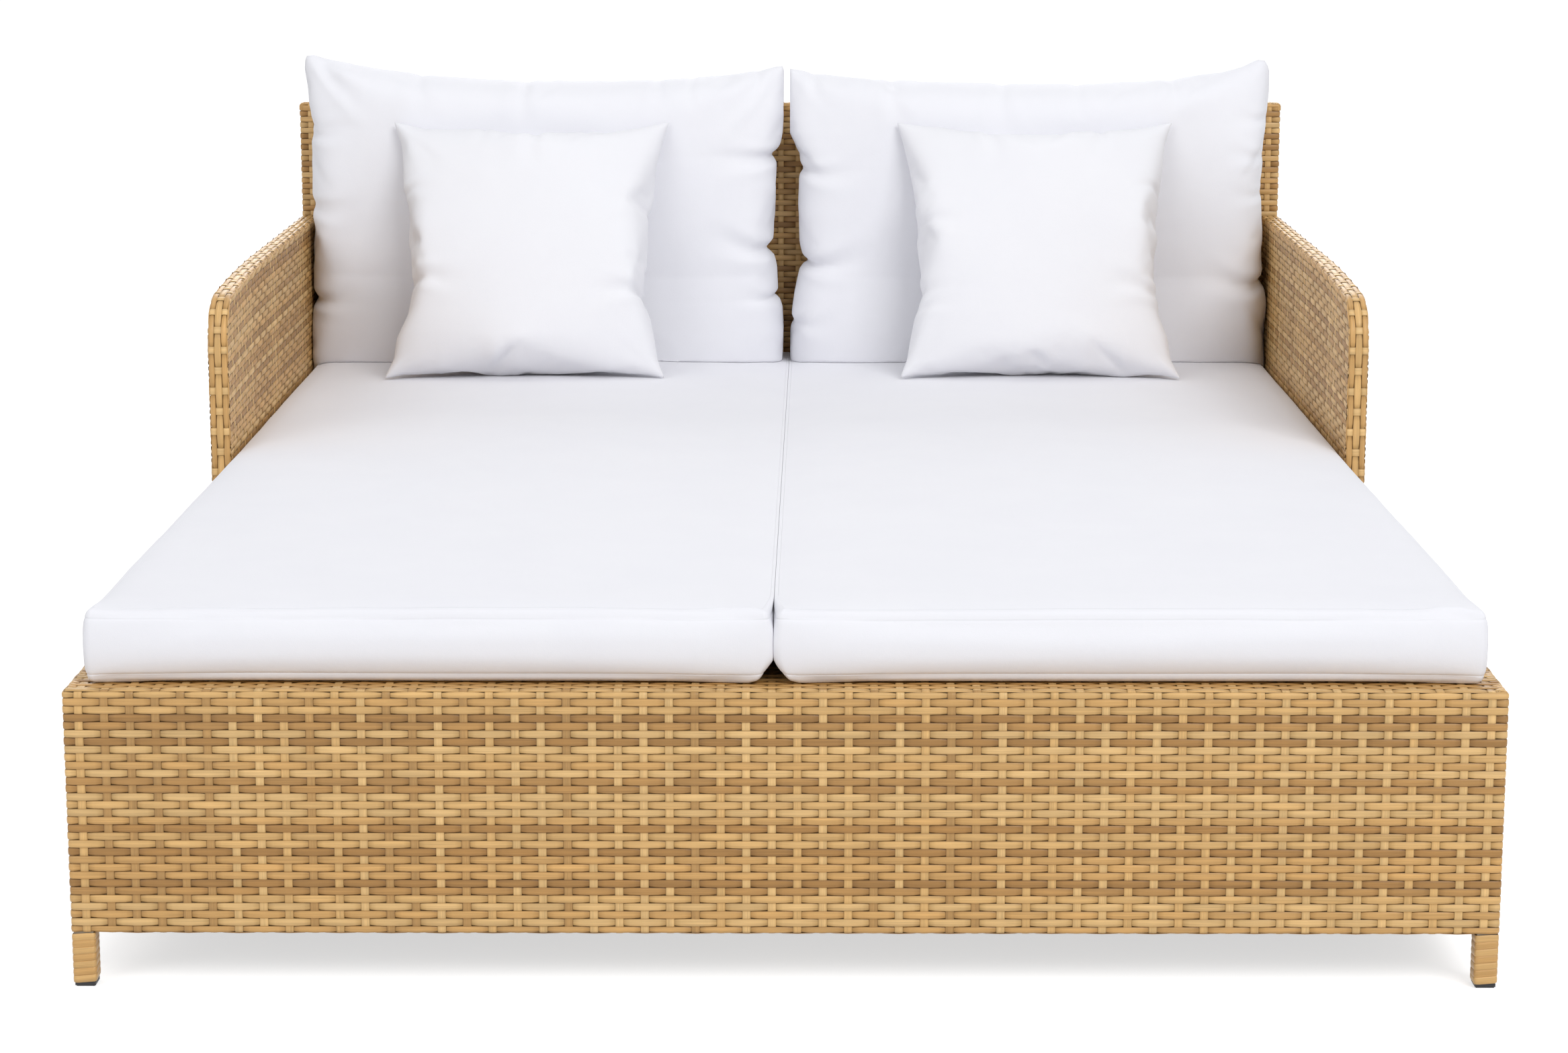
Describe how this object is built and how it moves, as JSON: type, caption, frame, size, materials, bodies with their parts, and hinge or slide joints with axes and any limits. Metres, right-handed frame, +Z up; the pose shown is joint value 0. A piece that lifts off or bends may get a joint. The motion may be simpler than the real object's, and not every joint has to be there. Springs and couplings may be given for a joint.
{
  "type": "outdoor daybed",
  "caption": "Double outdoor daybed with a woven strand base on a tube frame, short legs, half-length arms, a low backrest and loose box, back and throw cushions.",
  "frame": {"origin": "on the ground under the centre of the base", "axes": "+X to the right seen from the front, +Y from the front apron to the backrest, +Z up"},
  "size_m": [1.6, 2, 0.917],
  "materials": {
    "frame_tube": "satin powder coat on square aluminium tube",
    "foot_plastic": "moulded glides, matte black",
    "woven_strand": "flat woven strand, straw to brown, slightly glossy",
    "edge_strand": "flat strand laid along edges, straw, slightly glossy",
    "zinc_steel": "zinc plated bolts and inserts",
    "cushion_fabric": "smooth white outdoor fabric with sewn seams",
    "pillow_fabric": "smooth white outdoor fabric with sewn seams"
  },
  "bodies": {
    "frame": {"leg_front_left": "frame_tube", "leg_front_right": "frame_tube", "leg_rear_left": "frame_tube", "leg_rear_right": "frame_tube", "foot_front_left": "foot_plastic", "foot_front_right": "foot_plastic", "foot_rear_left": "foot_plastic", "foot_rear_right": "foot_plastic", "leg_wrap_front_left": "edge_strand", "leg_wrap_front_right": "edge_strand", "leg_wrap_rear_left": "edge_strand", "leg_wrap_rear_right": "edge_strand", "top_rail_front": "frame_tube", "top_rail_rear": "frame_tube", "top_rail_left": "frame_tube", "top_rail_right": "frame_tube", "bottom_rail_front": "frame_tube", "bottom_rail_rear": "frame_tube", "bottom_rail_left": "frame_tube", "bottom_rail_right": "frame_tube", "centre_beam_top": "frame_tube", "centre_beam_bottom": "frame_tube", "base_stiles": "frame_tube", "deck_slats": "frame_tube", "apron_front": "woven_strand", "apron_rear": "woven_strand", "apron_left": "woven_strand", "apron_right": "woven_strand", "deck_weave": "edge_strand", "arm_hoop_left": "frame_tube", "arm_hoop_right": "frame_tube", "arm_bottom_rail_left": "frame_tube", "arm_bottom_rail_right": "frame_tube", "arm_stiles_left": "frame_tube", "arm_stiles_right": "frame_tube", "arm_outer_weave_left": "woven_strand", "arm_outer_weave_right": "woven_strand", "arm_inner_weave_left": "woven_strand", "arm_inner_weave_right": "woven_strand", "arm_edge_left": "edge_strand", "arm_edge_right": "edge_strand", "back_hoop": "frame_tube", "back_bottom_rail": "frame_tube", "back_stiles": "frame_tube", "back_front_weave": "woven_strand", "back_rear_weave": "woven_strand", "back_edge": "edge_strand", "arm_bolts": "zinc_steel", "back_bolts": "zinc_steel", "threaded_inserts": "zinc_steel"},
    "seat_cushion_left": {"seat_cushion_left": "cushion_fabric"},
    "seat_cushion_right": {"seat_cushion_right": "cushion_fabric"},
    "back_cushion_left": {"back_cushion_left": "cushion_fabric"},
    "back_cushion_right": {"back_cushion_right": "cushion_fabric"},
    "throw_pillow_left": {"throw_pillow_left": "pillow_fabric"},
    "throw_pillow_right": {"throw_pillow_right": "pillow_fabric"}
  },
  "joints": [
    {"name": "seat_cushion_left_lift", "type": "slide", "parent": "frame", "child": "seat_cushion_left", "axis": [0, 0, 1], "range_m": [0, 0.5]},
    {"name": "back_cushion_left_lift", "type": "slide", "parent": "seat_cushion_left", "child": "back_cushion_left", "axis": [0, 0, 1], "range_m": [0, 0.45]},
    {"name": "throw_pillow_left_lift", "type": "slide", "parent": "back_cushion_left", "child": "throw_pillow_left", "axis": [0, 0, 1], "range_m": [0, 0.5]},
    {"name": "seat_cushion_right_lift", "type": "slide", "parent": "frame", "child": "seat_cushion_right", "axis": [0, 0, 1], "range_m": [0, 0.5]},
    {"name": "back_cushion_right_lift", "type": "slide", "parent": "seat_cushion_right", "child": "back_cushion_right", "axis": [0, 0, 1], "range_m": [0, 0.45]},
    {"name": "throw_pillow_right_lift", "type": "slide", "parent": "back_cushion_right", "child": "throw_pillow_right", "axis": [0, 0, 1], "range_m": [0, 0.5]}
  ]
}
